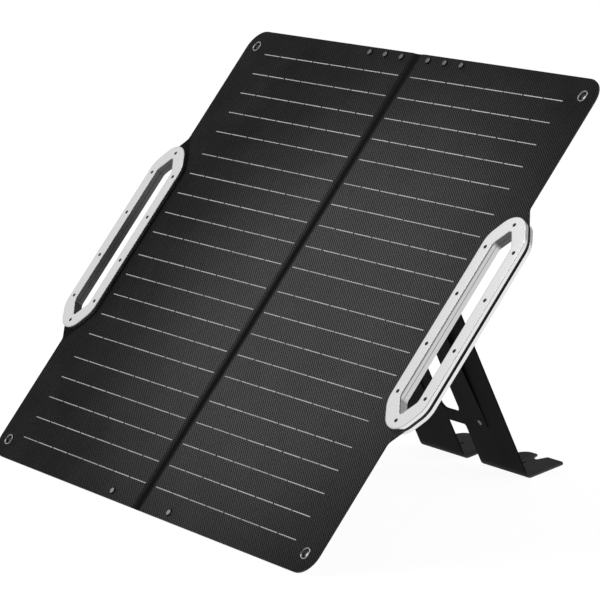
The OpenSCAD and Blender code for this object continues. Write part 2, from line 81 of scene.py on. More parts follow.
joints = {joint["name"]: joint for joint in frame["joints"]}
mounts = {mount["name"]: mount for mount in frame["record"]["mounts"]}


def local_frame(origin, x, y, z):
    """Matrix from local millimetres to the scene's metres."""
    axes = Matrix((x, y, z)).transposed().to_4x4()
    return Matrix.Translation(origin) @ axes @ Matrix.Scale(MM, 4)


def extent(node, space):
    """Lowest and highest corner of a CAD node in a local frame, in millimetres."""
    inverse = space.inverted()
    points = [inverse @ vertex.co for vertex in frame["nodes"][node].data.vertices]
    return [Vector([end(p[axis] for p in points) for axis in range(3)]) for end in (min, max)]


def on_crease(joint):
    """A joint's place, moved sideways to the middle of the object."""
    return Vector((0, *joints[joint]["pos_m"][1:]))


# The panel: X outward from the crease, Y up the slope, Z out of the front, from its back's bottom edge
UP = -Vector(joints["panel_fold"]["axis"])
NORMAL = Vector(mounts["right_top_eyelet"]["axis"])
fold_axis = on_crease("panel_fold")
PANEL = local_frame(fold_axis, X, UP, NORMAL)
sheet_low, _ = extent("right_front_sheet", PANEL)
back_low, _ = extent("right_back_fabric", PANEL)
PANEL = local_frame(PANEL @ Vector((0, sheet_low.y, back_low.z)), X, UP, NORMAL)

# A leg: Y down the leg from its hinge, Z out of its outer face. A foot plate: Y out from its fold
HINGE = on_crease("left_stand_fold")
FOLD = on_crease("left_foot_fold")
LEG_DIRECTION = (FOLD - HINGE).normalized()
LEG_LENGTH = (FOLD - HINGE).length / MM
LEG = local_frame(HINGE, X, LEG_DIRECTION, X.cross(LEG_DIRECTION))
OPEN_ANGLE = math.radians(-joints["left_stand_fold"]["range_deg"][0])
FOOT_ANGLE = math.radians(-joints["left_foot_fold"]["range_deg"][0])
FOOT = Matrix.Translation(FOLD) @ Matrix.Rotation(FOOT_ANGLE, 4, "X") @ Matrix.Translation(-FOLD)
FOOT = FOOT @ LEG @ Matrix.Translation((0, LEG_LENGTH, 0))

# ---- Sizes, in millimetres ----

sheet_low, sheet_high = extent("right_front_sheet", PANEL)
handle_low, handle_high = extent("right_handle_front", PANEL)
leg_low, leg_high = extent("right_leg_board", LEG)
_, foot_high = extent("right_foot_board", FOOT)
anchor_low, anchor_high = extent("right_stand_anchor", PANEL)
ribbon_low, ribbon_high = extent("right_ribbons", PANEL)

PANEL_H = sheet_high.y
FRONT = sheet_high.z
FILM_BACK = sheet_low.z
MID_U = PANEL_H / 2
HALF_W = (handle_low.x + handle_high.x) / 2
EAR_X = sheet_high.x
CORNER_R = 28
EAR_REACH = 163
EAR_STRAIGHT = 118
EAR_FOOT_R = 10
EAR_R = 24
BACK_T = 0.8
BACK_EDGE = 10.8
BACK_INSET = 1.0
SEAM_EDGE = 17
SEAM_INSET = 7

FILM_EDGE = 9.4
FILM_EDGE_R = 0.35
VALLEY_HALF = 14
VALLEY_DROP = 0.55
VALLEY_FLOOR = 2.4

# Spine flaps: reach from the crease, thickness along them and at their ends, start and end of the bend
SPINE_FRONT_W = FILM_EDGE + 0.9
SPINE_FRONT_T = (0.5, 2.0)
SPINE_FRONT_BEND = (10, 4)
SPINE_BACK_W = 15
SPINE_BACK_T = (0.6, 0.6)
SPINE_BACK_BEND = (11.5, 6.5)

CELL_H = 158.75
CELL_GAP = 5.15
CELL_ROWS = 4
RIBBONS_PER_CELL = 5
SLICES = 8
SLICE_W = 39.7
DASH_W = 1.25
DASH_SHIFT = 0.4
DASH_SHORT = (1.0, 2.6)
DASH_TONES = (0.72, 1.0)
DASH_EDGE = [(0, FRONT - 0.1), (0, FRONT + 0.05), (0.2, FRONT + 0.11)]

HANDLE_HALF_W = (handle_high.x - handle_low.x) / 2
HANDLE_STRAIGHT = 116
HANDLE_TIP = 165.5
HANDLE_SIDE_R = 30
HANDLE_TIP_R = 28
SHELL_FRONT = handle_high.z
SHELL_BACK = FRONT - SHELL_FRONT
SHELL_R = 0.6
RIM_W = 1.1
RIM_DROP = 0.06
CHAMFER = 0.2
LIP_T = 2
LIP_GAP = 0.1
LIP_CLEARANCE = 0.1
SLOT_HALF_W = 18.5
SLOT_STRAIGHT = 107
SLOT_TIP = 129
SLOT_SIDE_R = 9
SLOT_TIP_R = 4
SCREW_BAR_US = (-101, -35, 35, 101)
SCREW_TIP_U = 136
SCREW_HOLE_R = 2.6

EYELET_IN = 24
EYELET_END = 25
EYELET_HOLE_R = mounts["right_top_eyelet"]["dims"]["r_mm"]
BARREL_R = EYELET_HOLE_R + 0.5
OPENING_R = EYELET_HOLE_R + 0.6
RIVET_XS = (30, 67, 103)
RIVET_U = PANEL_H - 8.6
ANCHOR_T = -anchor_low.z

LEG_IN = leg_low.x
LEG_OUT = leg_high.x
LEG_T = 2.8
LEG_EDGE_R = 0.5
FOLD_R = 9
FLOOR_SLOPE = math.asin(-LEG_DIRECTION.z)
FOLD_LENGTH = LEG_LENGTH + FOLD_R * (math.tan(FOOT_ANGLE / 2) - math.tan(FLOOR_SLOPE / 2))
BRIDGE_ABOVE_FOLD = 72.5
BRIDGE_HALF_H = 9.5
BRIDGE_UPPER_R = 10
BRIDGE_LOWER_R = 3
BRIDGE_GAP = 0.15
STUD_X = 70
NOTCH_FLOOR = 48.5
SLOT_NEAR = 27
SLOT_FAR = 34
SLOT_R = 1.25

THREAD_H = 0.25
STRAP_X = 62
STRAP_W = 28
STRAP_T = 1.1
STRAP_DROP = 17.5
STRAP_END = LEG_LENGTH - 70
STRAP_RIVET = LEG_LENGTH - 76
STRAP_LIFT = LEG_LENGTH - 96

BOX_SCREW_IN = 8
BOX_SCREW_R = 2.2
BOX_RIB_PITCH = 7

# ---- Outlines ----


def corner(before, at, after, radius):
    """The points of one corner rounded to a radius."""
    a = (before - at).normalized()
    b = (after - at).normalized()
    half = a.angle(b) / 2
    centre = at + (a + b).normalized() * radius / math.sin(half)
    first = at + a * radius / math.tan(half) - centre
    reach = at - centre
    turn = math.copysign(math.pi - 2 * half, first.x * reach.y - first.y * reach.x)
    steps = max(4, round(2.2 * math.sqrt(radius)))
    return [centre + Matrix.Rotation(turn * i / steps, 2) @ first for i in range(steps + 1)]


def outline(corners):
    """An outline from its corners, each (x, y, radius), anticlockwise round its material."""
    points = [Vector(c[:2]) for c in corners]
    rounded = []
    for i, (*_, radius) in enumerate(corners):
        after = points[(i + 1) % len(points)]
        rounded += corner(points[i - 1], points[i], after, radius) if radius else [points[i]]
    return rounded


def hole(points):
    """An outline turned round, to bound a hole."""
    return points[::-1]


def circle(x, y, radius, steps=32):
    turns = [2 * math.pi * i / steps for i in range(steps)]
    return [Vector((x + radius * math.cos(t), y + radius * math.sin(t))) for t in turns]


def long_hexagon(half_w, straight, tip, side_r, tip_r):
    """A long hexagon on the side edge of the panel, with its tips up and down."""
    corners = [(half_w, -straight, side_r), (half_w, straight, side_r), (0, tip, tip_r)]
    corners += [(-half_w, straight, side_r), (-half_w, -straight, side_r), (0, -tip, tip_r)]
    return outline([(HALF_W + x, MID_U + y, r) for x, y, r in corners])


def half_outline(inner_x, edge=0):
    """One half of the panel, with the ear that its handle clamps."""
    return outline([
        (inner_x, edge, 0),
        (HALF_W - edge, edge, CORNER_R),
        (HALF_W - edge, MID_U - EAR_REACH, EAR_FOOT_R),
        (EAR_X - edge, MID_U - EAR_STRAIGHT, EAR_R),
        (EAR_X - edge, MID_U + EAR_STRAIGHT, EAR_R),
        (HALF_W - edge, MID_U + EAR_REACH, EAR_FOOT_R),
        (HALF_W - edge, PANEL_H - edge, CORNER_R),
        (inner_x, PANEL_H - edge, 0),
    ])


def rounded_rectangle(x, y, w, h, radius):
    w, h = w / 2, h / 2
    signs = [(-1, -1), (1, -1), (1, 1), (-1, 1)]
    return outline([(x + i * w, y + j * h, radius) for i, j in signs])


def inset(points, distance):
    """An outline moved into its material, which lies on its left."""
    moved = []
    for i, point in enumerate(points):
        before = (point - points[i - 1]).normalized()
        after = (points[(i + 1) % len(points)] - point).normalized()
        left = Vector((-before.y - after.y, before.x + after.x))
        moved.append(point + left * distance / (1 + before.dot(after)))
    return moved


HANDLE_OUTLINE = long_hexagon(HANDLE_HALF_W, HANDLE_STRAIGHT, HANDLE_TIP, HANDLE_SIDE_R, HANDLE_TIP_R)
SLOT_OUTLINE = long_hexagon(SLOT_HALF_W, SLOT_STRAIGHT, SLOT_TIP, SLOT_SIDE_R, SLOT_TIP_R)
SLOT_HOLE = hole(SLOT_OUTLINE)
EYELET_PLACES = [(HALF_W - EYELET_IN, u) for u in (EYELET_END, PANEL_H - EYELET_END)]

# ---- Mesh builders: each returns (points, faces) ----


def rounded_edge(low, high, low_r, high_r, steps=3):
    """An edge profile from the back face to the front, rounded at both."""
    turns = [math.pi / 2 * i / steps for i in range(steps + 1)]
    back = [(low_r * (1 - math.sin(t)), low + low_r * (1 - math.cos(t))) for t in turns]
    front = [(high_r * (1 - math.cos(t)), high - high_r * (1 - math.sin(t))) for t in turns]
    return back + front


def straight_edge(low, high):
    return [(0, low), (0, high)]


def between_rings(start, rings, count):
    """The faces that join rings of points, each ring of count points following the one before."""
    faces = []
    for ring in range(start, start + (rings - 1) * count, count):
        for i in range(count):
            a = ring + i
            b = ring + (i + 1) % count
            faces.append((a, b, b + count, a + count))
    return faces


def slab(*loops):
    """A plate from outlines and their edge profiles of (inset, z), the outer outline first."""
    points, faces, backs, fronts = [], [], [], []
    for loop, profile in loops:
        count = len(loop)
        start = len(points)
        for distance, z in profile:
            points += [Vector((*p, z)) for p in inset(loop, distance)]
        faces += between_rings(start, len(profile), count)
        backs.append(range(start, start + count))
        fronts.append(range(len(points) - count, len(points)))
    for rings, facing in ((backs, -1), (fronts, 1)):
        order = [i for ring in rings for i in ring]
        for triangle in tessellate_polygon([[points[i] for i in ring] for ring in rings]):
            a, b, c = (order[i] for i in triangle)
            up = (points[b] - points[a]).cross(points[c] - points[a]).z
            faces.append((a, b, c) if up * facing > 0 else (a, c, b))
    return points, faces


def lathe(profile, x=0, y=0, steps=36):
    """A profile of (radius, z), anticlockwise, turned about an upright axis."""
    points, faces, rings = [], [], []
    for radius, z in profile:
        count = steps if radius > 0 else 1
        rings.append(range(len(points), len(points) + count))
        points += [Vector((*p, z)) for p in circle(x, y, radius, count)]
    closed = len(rings[0]) > 1
    pairs = list(zip(rings, rings[1:])) + ([(rings[-1], rings[0])] if closed else [])
    for low, high in pairs:
        for i in range(steps):
            j = (i + 1) % steps
            if len(low) == 1:
                faces.append((low[0], high[j], high[i]))
            elif len(high) == 1:
                faces.append((low[i], low[j], high[0]))
            else:
                faces.append((low[i], low[j], high[j], high[i]))
    return points, faces


def loft(rings):
    """A closed skin through rings of equal length, with a cap at each end."""
    count = len(rings[0])
    points = [Vector(p) for ring in rings for p in ring]
    faces = [tuple(range(count))[::-1], tuple(range(len(points) - count, len(points)))]
    return points, faces + between_rings(0, len(rings), count)


def cut(part, axis, values):
    """A part with its faces cut at planes across an axis, so that it can bend there."""
    mesh = bmesh.new()
    corners = [mesh.verts.new(p) for p in part[0]]
    for face in part[1]:
        mesh.faces.new([corners[i] for i in face])
    normal = Vector([i == axis for i in range(3)])
    for value in values:
        everything = mesh.verts[:] + mesh.edges[:] + mesh.faces[:]
        bmesh.ops.bisect_plane(mesh, geom=everything, plane_co=normal * value, plane_no=normal)
    mesh.verts.index_update()
    result = [v.co.copy() for v in mesh.verts], [tuple(v.index for v in f.verts) for f in mesh.faces]
    mesh.free()
    return result


def shaped(part, shape):
    """A part with a function applied to each of its points."""
    return [shape(p) for p in part[0]], part[1]


def band(path, half_t):
    """The ring round a path of 2-D points, half_t to each side of it."""
    above, below = [], []
    for i, point in enumerate(path):
        before = (point - path[i - 1]).normalized() if i else (path[1] - point).normalized()
        after = (path[i + 1] - point).normalized() if i + 1 < len(path) else before
        left = Vector((-before.y - after.y, before.x + after.x)) / (1 + before.dot(after))
        above.append(point + left * half_t)
        below.append(point - left * half_t)
    return below + above[::-1]


def strip(path, half_t, x0, x1, edge=0.3):
    """A strip of cloth along a path of (y, z) points, from x0 to x1, with thinned edges."""
    stations = [(x0, 0.55), (x0 + edge, 1), (x1 - edge, 1), (x1, 0.55)]
    return loft([[(x, *p) for p in band(path, half_t * thin)] for x, thin in stations])


def stitches(path, lift, length=3, pitch=4.4, closed=False):
    """Short raised threads along a flat path of (x, y) points, at a height above or below it."""
    half_w = 0.28
    parts = []
    points = path + path[:1] if closed else path
    gap = 0.0
    for a, b in zip(points, points[1:]):
        along = b - a
        if along.length < 1e-6:
            continue
        step = along.normalized()
        side = Vector((-step.y, step.x))
        place = gap
        while place < along.length:
            middle = a + step * place
            rings = []
            for t, size in ((-0.5, 0.3), (-0.3, 1), (0.3, 1), (0.5, 0.3)):
                at = middle + step * t * length
                ring = [at + side * half_w * size * k for k in (1, 0.5, -0.5, -1)]
                tops = (0, abs(lift) * size, abs(lift) * size, 0)
                rings.append([(*p, math.copysign(top, lift)) for p, top in zip(ring, tops)])
            parts.append(loft(rings if lift > 0 else rings[::-1]))
            place += pitch
        gap = place - along.length
    return parts


def raised(parts, z):
    return [shaped(part, lambda p: p + Vector((0, 0, z))) for part in parts]


def add(name, data):
    """A new object in the scene."""
    made = bpy.data.objects.new(name, data)
    bpy.context.scene.collection.objects.link(made)
    return made


def piece(name, space, parts, material, side=1, tones=None, shape=None, sharp=38):
    """One object from parts in a local frame, mirrored for the left side (-1).

    Its 'local' attribute keeps the flat place of each point, for the materials, and 'tone' each
    part's shade. shape is a function that bends the flat parts into place.
    """
    points, faces, shades = [], [], []
    for n, (part_points, part_faces) in enumerate(parts):
        start = len(points)
        points += part_points
        faces += [tuple(start + i for i in face) for face in part_faces]
        shades += [tones[n] if tones else 1.0] * len(part_points)
    flip = Vector((side, 1, 1))
    placed = [shape(p) if shape else p for p in points]
    if side < 0:
        faces = [face[::-1] for face in faces]
    mesh = bpy.data.meshes.new(name)
    mesh.from_pydata([space @ (p * flip) for p in placed], [], faces)
    local = mesh.attributes.new("local", "FLOAT_VECTOR", "POINT")
    local.data.foreach_set("vector", [value for p in points for value in p * flip])
    tone = mesh.attributes.new("tone", "FLOAT", "POINT")
    tone.data.foreach_set("value", shades)
    mesh.validate()
    mesh.shade_smooth()
    mesh.set_sharp_from_angle(angle=math.radians(sharp))
    mesh.materials.append(material)
    made = add(name, mesh)
    made.modifiers.new("normals", "WEIGHTED_NORMAL").keep_sharp = True
    return made


# ---- Materials ----


def srgb(value):
    """Linear light for an sRGB level from 0 to 255."""
    level = value / 255
    return level / 12.92 if level <= 0.04045 else ((level + 0.055) / 1.055) ** 2.4


def grey(value):
    """A grey colour from its sRGB level."""
    return (srgb(value),) * 3 + (1,)


class Nodes:
    """Builds shader nodes in a tree."""

    def __init__(self, tree):
        self.tree = tree

    def node(self, kind, inputs=None, **settings):
        made = self.tree.nodes.new("ShaderNode" + kind)
        for key, value in settings.items():
            setattr(made, key, value)
        for key, value in (inputs or {}).items():
            if isinstance(value, bpy.types.NodeSocket):
                self.tree.links.new(value, made.inputs[key])
            else:
                made.inputs[key].default_value = value
        return made

    def maths(self, operation, a, b=0.0, c=0.0):
        return self.node("Math", {0: a, 1: b, 2: c}, operation=operation).outputs[0]

    def times(self, a, b):
        return self.maths("MULTIPLY", a, b)

    def vectors(self, operation, a, b):
        """One number from two vectors."""
        return self.node("VectorMath", {0: a, 1: b}, operation=operation).outputs["Value"]

    def spread(self, value, low, high, new_low=0.0, new_high=1.0, smooth=False):
        """A value carried from one range to another, held at its ends."""
        kind = "SMOOTHSTEP" if smooth else "LINEAR"
        inputs = {"Value": value, 1: low, 2: high, 3: new_low, 4: new_high}
        return self.node("MapRange", inputs, interpolation_type=kind).outputs[0]


class Material(Nodes):
    """A node material whose textures run in millimetres, on new pieces or on CAD nodes."""

    def __init__(self, name, cad=False, **settings):
        self.material = bpy.data.materials.new(name)
        self.material.use_nodes = True
        super().__init__(self.material.node_tree)
        self.shader = self.tree.nodes["Principled BSDF"]
        for socket, value in settings.items():
            self.shader.inputs[socket.replace("_", " ")].default_value = value
        if cad:
            place = self.node("TexCoord").outputs["Object"]
            tilt = -math.asin(UP.z)
            turned = self.node("Mapping", {"Vector": place, "Rotation": (tilt, 0, 0), "Scale": (1000,) * 3})
            self.place = turned.outputs["Vector"]
        else:
            self.place = self.node("Attribute", attribute_name="local").outputs["Vector"]

    def axis(self, name):
        return self.node("SeparateXYZ", {0: self.place}).outputs[name]

    def noise(self, size, detail=2.0, stretch=(1, 1, 1)):
        """Noise from 0 to 1 with features of a size in millimetres."""
        place = self.node("Mapping", {"Vector": self.place, "Scale": stretch}).outputs["Vector"]
        made = self.node("TexNoise", {"Vector": place, "Scale": 1 / size, "Detail": detail})
        return made.outputs["Fac"]

    def wave(self, axis, period):
        """A sine along one axis, from -1 to 1."""
        return self.maths("SINE", self.times(self.axis(axis), 2 * math.pi / period))

    def diamonds(self, period_x, period_y):
        """Diamonds from 0 to 1, with the given periods across and along."""
        product = self.times(self.wave("X", period_x), self.wave("Y", period_y))
        return self.maths("MULTIPLY_ADD", product, 0.5, 0.5)

    def colour(self, value, low, high):
        """The base colour runs from low to high as value runs from 0 to 1."""
        mixed = self.node("Mix", {0: value, 6: low, 7: high}, data_type="RGBA")
        self.tree.links.new(mixed.outputs[2], self.shader.inputs["Base Color"])

    def rough(self, value, low, high):
        mixed = self.spread(value, 0.0, 1.0, low, high)
        self.tree.links.new(mixed, self.shader.inputs["Roughness"])

    def bump(self, height, depth):
        """Relief of a depth in millimetres, on top of any relief already there."""
        made = self.node("Bump", {"Height": height, "Distance": depth * MM, "Strength": 1.0})
        earlier = self.shader.inputs["Normal"].links
        if earlier:
            self.tree.links.new(earlier[0].from_socket, made.inputs["Normal"])
        self.tree.links.new(made.outputs["Normal"], self.shader.inputs["Normal"])


def film_material():
    """Embossed black front film: small diamonds that fade out in the soft valley at the crease.

    The film's colour is paler towards the middle of the panel and darker along its margins, all painted
    light; it also has painted shade in the diamonds' hollows and in the crease's valley, and a painted
    shadow in the corner that it makes with the left handle.
    """
    film = Material("embossed_film", Roughness=0.45, Specular_IOR_Level=0.02)
    across = film.axis("X")
    relief = film.spread(film.diamonds(5.0, 3.4), 0.3, 0.7)
    # painted light: the film is paler round this point and darker towards its margins, with a random mottle added
    palest = (120, 300, FRONT)
    from_middle = film.vectors("DISTANCE", film.place, palest)
    pale = film.spread(from_middle, 120.0, 470.0, 1.0, 0.0, smooth=True)
    pale = film.maths("MULTIPLY_ADD", film.noise(70.0, 2.0), 0.3, pale)
    # the diamonds' relief also sets the colour: painted shade in their hollows
    shade = film.times(film.maths("MULTIPLY_ADD", pale, 0.44, 0.03), relief)
    # painted shade in the crease's valley; the same mask also flattens the diamonds' relief there
    flat = film.spread(film.maths("ABSOLUTE", across), 2.0, 14.0, 0.0, 1.0, smooth=True)
    shade = film.times(shade, flat)
    # painted shadow on the film along the left handle's inner side, tapering round its tips
    inner_edge = HANDLE_HALF_W - HALF_W
    along = film.maths("ABSOLUTE", film.maths("SUBTRACT", film.axis("Y"), MID_U))
    reach = 120
    taper = reach * HANDLE_HALF_W / (HANDLE_TIP - HANDLE_STRAIGHT)
    beyond = film.spread(along, HANDLE_STRAIGHT, HANDLE_STRAIGHT + reach, 0.0, taper)
    clear_of_handle_shadow = film.spread(film.maths("ADD", across, beyond), inner_edge + 1, inner_edge + 8, smooth=True)
    shade = film.times(shade, clear_of_handle_shadow)
    film.colour(shade, grey(9), grey(134))
    film.rough(film.noise(14.0), 0.4, 0.54)
    film.bump(film.times(relief, flat), 0.3)
    film.bump(film.noise(0.8), 0.02)
    return film.material


def dash_material():
    """Tinned ribbon seen through the embossed film: a grey line dotted with painted highlights where
    the film's embossing catches the light, each dot also raised a little.
    """
    dash = Material("ribbon_dash", Metallic=0.35, Roughness=0.42)
    bead_bumps_and_glints = dash.spread(dash.wave("X", 3.0), -1.0, 1.0)
    tone = dash.node("Attribute", attribute_name="tone").outputs["Fac"]
    # painted highlights: the dots brighten the ribbon's colour as well as raising it
    shade = dash.times(dash.maths("MULTIPLY_ADD", bead_bumps_and_glints, 0.45, 0.55), tone)
    dash.colour(shade, grey(70), grey(205))
    dash.bump(bead_bumps_and_glints, 0.06)
    return dash.material


def cloth_material(name, dark, light, thread, depth):
    """Woven cloth: over-and-under threads, with soft patches of wear."""
    cloth = Material(name, Roughness=0.85, Specular_IOR_Level=0.25, Sheen_Weight=0.06)
    weave = cloth.diamonds(2 * thread, 2 * thread)
    patches = cloth.noise(45.0, 3.0)
    shade = cloth.maths("MULTIPLY_ADD", patches, 0.7, cloth.times(weave, 0.35))
    cloth.colour(shade, dark, light)
    cloth.bump(weave, depth)
    cloth.bump(cloth.noise(6.0, 3.0), 0.05)
    return cloth.material


def webbing_material():
    """Strap webbing: ribs across the strap and a herringbone of fine threads."""
    webbing = Material("strap_webbing", Roughness=0.8, Specular_IOR_Level=0.08)
    ribs = webbing.diamonds(3.2, 1.7)
    shade = webbing.maths("MULTIPLY_ADD", ribs, 0.6, webbing.noise(9.0))
    webbing.colour(shade, grey(2), grey(11))
    webbing.bump(ribs, 0.22)
    return webbing.material


def stand_material():
    """Matt black pressed board: fine grain and mottled, with painted light that makes the feet paler
    and painted shade that makes their slots black.
    """
    stand = Material("stand_laminate", Roughness=0.7, Specular_IOR_Level=0.03)
    y = stand.axis("Y")
    shade = stand.maths("MULTIPLY_ADD", stand.noise(2.2, 4.0), 0.5, stand.noise(55.0, 3.0))
    # painted light: the legs are dark, the foot plates paler, and the anchor plates beyond them dark again
    painted_foot_light = stand.spread(y, FOLD_LENGTH - 14, FOLD_LENGTH + 10, 0.08, 1.0, smooth=True)
    painted_foot_light = stand.times(painted_foot_light, stand.spread(y, FOLD_LENGTH + 70, FOLD_LENGTH + 80, 1.0, 0.1))
    shade = stand.times(stand.spread(shade, 0.35, 1.1, 0.4, 1.0), painted_foot_light)
    # painted shade: the thread slot in each foot plate is coloured black
    half_w = SLOT_R + 0.3
    reach = (SLOT_FAR - SLOT_NEAR) / 2 + half_w
    beside = stand.maths("COMPARE", stand.maths("ABSOLUTE", stand.axis("X")), STUD_X, half_w)
    in_slot = stand.maths("COMPARE", y, FOLD_LENGTH + (SLOT_NEAR + SLOT_FAR) / 2, reach)
    clear_of_slot_shade = stand.maths("SUBTRACT", 1.0, stand.times(beside, in_slot))
    shade = stand.times(shade, clear_of_slot_shade)
    stand.colour(shade, grey(5), grey(88))
    stand.bump(stand.noise(0.9, 3.0), 0.10)
    return stand.material


def metal_material(name, colour, roughness):
    """Metal with a fine grain, for CAD nodes."""
    metal = Material(name, cad=True, Metallic=1.0, Base_Color=colour)
    metal.rough(metal.noise(0.25, 3.0), roughness * 0.8, roughness * 1.25)
    return metal.material


def aluminium_material():
    """Satin shell of the handles, with a painted dark line round its rims and painted shade inside the
    hand slot.

    The left handle's slot and the upper end of both slots have the deepest painted shade.
    """
    metal = Material("satin_aluminium", Metallic=1.0)
    x = metal.axis("X")
    across = metal.maths("ABSOLUTE", metal.maths("SUBTRACT", metal.maths("ABSOLUTE", x), HALF_W))
    y = metal.axis("Y")
    along = metal.maths("ABSOLUTE", metal.maths("SUBTRACT", y, MID_U))
    # painted shade is laid only on the hand slot's walls, below the rounding of the face
    inside = metal.maths("LESS_THAN", across, SLOT_HALF_W + 0.4)
    inside = metal.times(inside, metal.maths("LESS_THAN", along, SLOT_TIP + 1))
    height = metal.axis("Z")
    wall = metal.spread(height, SHELL_FRONT - 0.5, SHELL_FRONT - 0.2, 1.0, 0.0)
    # painted shade: a dark band on the slot's wall just under the face, lighter deeper in
    under_rim = metal.spread(height, SHELL_FRONT - 2.4, SHELL_FRONT - 1.8, 0.25, 0.7)
    # painted shade: the left handle's slot is darker than the right one's
    left = metal.maths("LESS_THAN", x, 0.0)
    shade = metal.maths("MAXIMUM", under_rim, metal.times(left, 0.9))
    # painted shade at the upper end of both slots
    upper_end = MID_U + SLOT_STRAIGHT
    shade = metal.maths("MAXIMUM", shade, metal.spread(y, upper_end - 4, upper_end + 3, 0.0, 0.88))
    shade = metal.times(metal.times(inside, wall), shade)
    # painted shade: a dark line on the rounding round the rims, where it would catch bright reflections
    rim = metal.spread(height, SHELL_FRONT - 0.5, SHELL_FRONT - 0.3)
    rim_top = metal.spread(height, SHELL_FRONT - RIM_DROP / 2, SHELL_FRONT, 0.3, 0.0)
    rim = metal.times(rim, rim_top)
    metal.colour(metal.maths("MAXIMUM", shade, rim), grey(228), grey(22))
    metal.rough(metal.noise(4.0, 2.0, (1, 0.1, 1)), 0.24, 0.28)
    return metal.material


def metal_with_painted_shade(name, dark, light, roughness):
    """Metal whose parts are lighter or darker by their tone: painted light and painted shade on one metal."""
    metal = Material(name, Metallic=1.0)
    metal.colour(metal.node("Attribute", attribute_name="tone").outputs["Fac"], dark, light)
    metal.rough(metal.noise(0.5), roughness * 0.85, roughness * 1.15)
    return metal.material


def plastic_material(name, dark, light, roughness, cad=True):
    """Moulded plastic with a fine spark-eroded grain."""
    plastic = Material(name, cad=cad, Specular_IOR_Level=0.4)
    plastic.colour(plastic.noise(25.0, 3.0), dark, light)
    plastic.rough(plastic.noise(1.5, 3.0), roughness - 0.08, roughness + 0.08)
    plastic.bump(plastic.noise(0.45, 2.0), 0.05)
    return plastic.material


def circuit_material():
    """Green solder mask with faint tracks."""
    circuit = Material("circuit_mask", cad=True, Roughness=0.35)
    tracks = circuit.spread(circuit.noise(2.0, 0.0, (0.25, 1, 1)), 0.48, 0.52)
    circuit.colour(tracks, (0.01, 0.09, 0.03, 1), (0.03, 0.2, 0.07, 1))
    return circuit.material


def floor_material():
    """Plain pale floor, evenly lit like a studio sweep."""
    floor = Material("studio_floor", cad=True, Roughness=1.0, Base_Color=grey(90))
    floor.shader.inputs["Emission Color"].default_value = (1, 1, 1, 1)
    floor.shader.inputs["Emission Strength"].default_value = 0.94
    return floor.material


FILM = film_material()
DASH = dash_material()
BACK_CLOTH = cloth_material("back_polyester", grey(20), grey(40), 0.7, 0.12)
THREAD = cloth_material("sewing_thread", grey(34), grey(58), 0.3, 0.03)
WEBBING = webbing_material()
STAND = stand_material()
ALUMINIUM = aluminium_material()
# painted shade on the eyelets' funnels and the rivet caps' sides, painted light on the caps' tops, by each part's
# tone
NICKEL = metal_with_painted_shade("dark_nickel", grey(45), grey(165), 0.2)
RIVET_METAL = metal_with_painted_shade("black_zinc", grey(24), grey(100), 0.34)
STUD_METAL = metal_with_painted_shade("zinc_stud", grey(30), grey(145), 0.3)
STRAP_RIVET_METAL = metal_with_painted_shade("strap_rivet_steel", grey(30), grey(92), 0.3)
BLACK_SCREW = metal_material("black_screw_steel", grey(52), 0.4)
BOX_SCREW = metal_material("box_screw_steel", grey(150), 0.3)
COPPER = metal_material("flat_copper", (0.65, 0.3, 0.16, 1), 0.3)
BOX_PLASTIC = plastic_material("box_plastic", grey(24), grey(34), 0.5)
COVER_PLASTIC = plastic_material("box_cover_plastic", grey(26), grey(37), 0.5, cad=False)
SOCKET_PLASTIC = plastic_material("socket_plastic", grey(30), grey(42), 0.38)
EDGE_BOARD = plastic_material("edge_board", grey(14), grey(24), 0.7)
CORE_BOARD = plastic_material("core_board", (0.05, 0.07, 0.03, 1), (0.08, 0.1, 0.05, 1), 0.6)
CELL = plastic_material("silicon_cell", (0.004, 0.006, 0.015, 1), (0.008, 0.012, 0.028, 1), 0.3)
CIRCUIT = circuit_material()

# ---- Panel halves ----


def in_valley(point):
    """The film's inner edge rolls down towards the crease."""
    into = max(0, VALLEY_HALF - point.x) / (VALLEY_HALF - FILM_EDGE)
    return point - Vector((0, 0, VALLEY_DROP * into ** 2))


def sheet_holes(low, high):
    """The holes through a sheet of the panel, for its handle's lips and its eyelets."""
    slot = inset(SLOT_HOLE, LIP_T + LIP_CLEARANCE)
    eyes = [hole(circle(x, u, OPENING_R)) for x, u in EYELET_PLACES]
    return [(loop, straight_edge(low, high)) for loop in [slot] + eyes]


def front_film(name, side):
    loops = [(half_outline(FILM_EDGE), rounded_edge(FILM_BACK, FRONT, 0.05, FILM_EDGE_R))]
    loops += sheet_holes(FILM_BACK, FRONT)
    steps = 8
    cuts = [FILM_EDGE + (VALLEY_HALF - FILM_EDGE) * i / steps for i in range(1, steps + 1)]
    sheet = shaped(cut(slab(*loops), 0, cuts), in_valley)
    made = piece(f"{name}_front_film", PANEL, [sheet], FILM, side)
    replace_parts(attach(made, f"{name}_half"), f"{name}_front_sheet")


def ribbon_dashes(name, side):
    """One short bar on each cell slice for each ribbon."""
    pitch = (ribbon_high.x - ribbon_low.x - SLICE_W) / (SLICES - 1)
    field_u = (PANEL_H - CELL_ROWS * CELL_H - (CELL_ROWS - 1) * CELL_GAP) / 2
    bars, tones = [], []
    for column in range(SLICES):
        for row in range(CELL_ROWS):
            for i in range(RIBBONS_PER_CELL):
                x = ribbon_low.x + column * pitch + SLICE_W / 2 + random.uniform(-DASH_SHIFT, DASH_SHIFT)
                u = field_u + row * (CELL_H + CELL_GAP) + (i + 0.5) * CELL_H / RIBBONS_PER_CELL
                bar = rounded_rectangle(x, u, SLICE_W - random.uniform(*DASH_SHORT), DASH_W, 0.3)
                bars.append(slab((bar, DASH_EDGE)))
                tones.append(random.uniform(*DASH_TONES))
    made = piece(f"{name}_ribbon_dashes", PANEL, bars, DASH, side, tones)
    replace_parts(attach(made, f"{name}_half"), f"{name}_ribbons")


